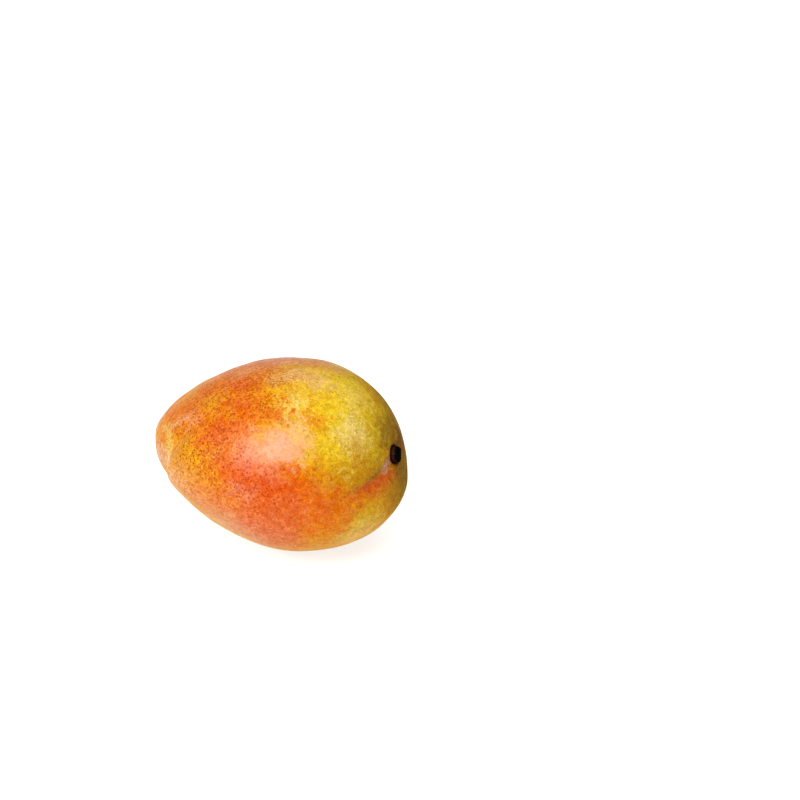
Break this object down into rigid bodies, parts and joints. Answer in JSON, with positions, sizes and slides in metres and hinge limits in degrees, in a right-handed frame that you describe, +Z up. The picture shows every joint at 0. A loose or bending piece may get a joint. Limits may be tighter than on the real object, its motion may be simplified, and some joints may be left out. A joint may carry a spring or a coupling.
{
  "type": "mango",
  "caption": "Whole ripe mango lying on its flatter cheek, egg-shaped with a sinus beside the beak and a woody stalk stub in a shallow hollow.",
  "frame": {"origin": "on the surface that the fruit rests on, under the middle of its outline", "axes": "+Z up, +X along the fruit towards its stalk end, -X towards the beak, -Y towards the side with the seam furrows"},
  "size_m": [0.1196, 0.0962, 0.0858],
  "materials": {
    "fruit_skin": "satin waxy fruit skin, mottled orange, red and yellow with fine dark lenticels",
    "stalk_wood": "rough dried stalk, near black"
  },
  "bodies": {
    "root": {"mango_fruit": "fruit_skin", "stalk_stub": "stalk_wood"}
  },
  "joints": []
}
